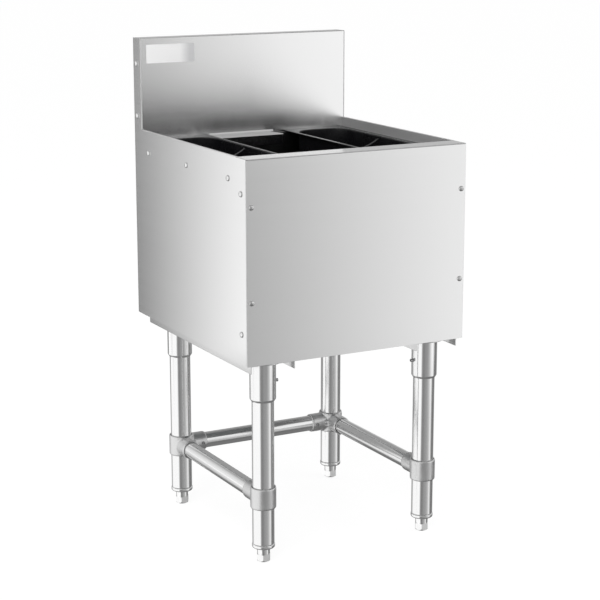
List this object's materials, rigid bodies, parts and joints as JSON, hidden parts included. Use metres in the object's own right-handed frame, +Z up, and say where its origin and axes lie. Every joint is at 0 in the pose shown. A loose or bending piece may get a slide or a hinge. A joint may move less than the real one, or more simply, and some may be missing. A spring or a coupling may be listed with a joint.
{
  "type": "underbar ice bin",
  "caption": "Insulated stainless ice bin with a backsplash and black bottle wells at each side, on a tubular stand with cross rails and adjustable feet.",
  "frame": {"origin": "on the floor, under the middle of the outline", "axes": "+Z up; +X to the right and +Y to the back for a person who stands in front of the bin"},
  "size_m": [0.4618, 0.494, 0.9424],
  "materials": {
    "brushed_sheet": "brushed",
    "splash_sheet": "satin",
    "galvanised_sheet": "matte",
    "liner_sheet": "satin",
    "foam": "matte",
    "well_plastic": "gloss",
    "polished_tube": "polished",
    "cast_fitting": "satin",
    "screw_steel": "satin",
    "gasket_rubber": "matte",
    "label_foil": "satin"
  },
  "bodies": {
    "bin": {"left_side_panel": "brushed_sheet", "right_side_panel": "brushed_sheet", "front_panel": "brushed_sheet", "front_rim": "brushed_sheet", "rear_ledge": "brushed_sheet", "left_channel": "brushed_sheet", "right_channel": "brushed_sheet", "backsplash": "splash_sheet", "back_panel": "galvanised_sheet", "bottom_pan": "galvanised_sheet", "left_front_angle": "galvanised_sheet", "right_front_angle": "galvanised_sheet", "ice_liner": "liner_sheet", "insulation": "foam", "drain_body": "polished_tube", "drain_locknut": "polished_tube", "drain_gasket": "gasket_rubber", "label_plate": "label_foil", "lower_left_screw": "screw_steel", "lower_right_screw": "screw_steel", "upper_left_screw": "screw_steel", "upper_right_screw": "screw_steel", "front_left_socket": "polished_tube", "front_left_leg": "polished_tube", "front_left_socket_screw": "screw_steel", "front_left_side_screw": "screw_steel", "front_left_insert": "polished_tube", "front_left_tee": "cast_fitting", "front_right_socket": "polished_tube", "front_right_leg": "polished_tube", "front_right_socket_screw": "screw_steel", "front_right_side_screw": "screw_steel", "front_right_insert": "polished_tube", "front_right_tee": "cast_fitting", "rear_left_socket": "polished_tube", "rear_left_leg": "polished_tube", "rear_left_socket_screw": "screw_steel", "rear_left_side_screw": "screw_steel", "rear_left_insert": "polished_tube", "rear_left_corner": "cast_fitting", "rear_left_rear_screw": "screw_steel", "rear_left_leg_screw": "screw_steel", "rear_right_socket": "polished_tube", "rear_right_leg": "polished_tube", "rear_right_socket_screw": "screw_steel", "rear_right_side_screw": "screw_steel", "rear_right_insert": "polished_tube", "rear_right_corner": "cast_fitting", "rear_right_rear_screw": "screw_steel", "rear_right_leg_screw": "screw_steel", "left_rail": "polished_tube", "right_rail": "polished_tube", "rear_rail": "polished_tube"},
    "front_left_foot": {"front_left_foot": "polished_tube"},
    "front_right_foot": {"front_right_foot": "polished_tube"},
    "rear_left_foot": {"rear_left_foot": "polished_tube"},
    "rear_right_foot": {"rear_right_foot": "polished_tube"},
    "left_bottle_well": {"left_bottle_well": "well_plastic"},
    "right_bottle_well": {"right_bottle_well": "well_plastic"},
    "drain_strainer": {"drain_strainer": "polished_tube"}
  },
  "joints": [
    {"name": "front_left_foot_screw", "type": "slide", "parent": "bin", "child": "front_left_foot", "axis": [0, 0, -1], "range_m": [0, 0.02]},
    {"name": "front_right_foot_screw", "type": "slide", "parent": "bin", "child": "front_right_foot", "axis": [0, 0, -1], "range_m": [0, 0.02]},
    {"name": "rear_left_foot_screw", "type": "slide", "parent": "bin", "child": "rear_left_foot", "axis": [0, 0, -1], "range_m": [0, 0.02]},
    {"name": "rear_right_foot_screw", "type": "slide", "parent": "bin", "child": "rear_right_foot", "axis": [0, 0, -1], "range_m": [0, 0.02]},
    {"name": "left_well_lift", "type": "slide", "parent": "bin", "child": "left_bottle_well", "axis": [0, 0, 1], "range_m": [0, 0.22]},
    {"name": "right_well_lift", "type": "slide", "parent": "bin", "child": "right_bottle_well", "axis": [0, 0, 1], "range_m": [0, 0.22]},
    {"name": "strainer_lift", "type": "slide", "parent": "bin", "child": "drain_strainer", "axis": [0, 0, 1], "range_m": [0, 0.06]}
  ]
}
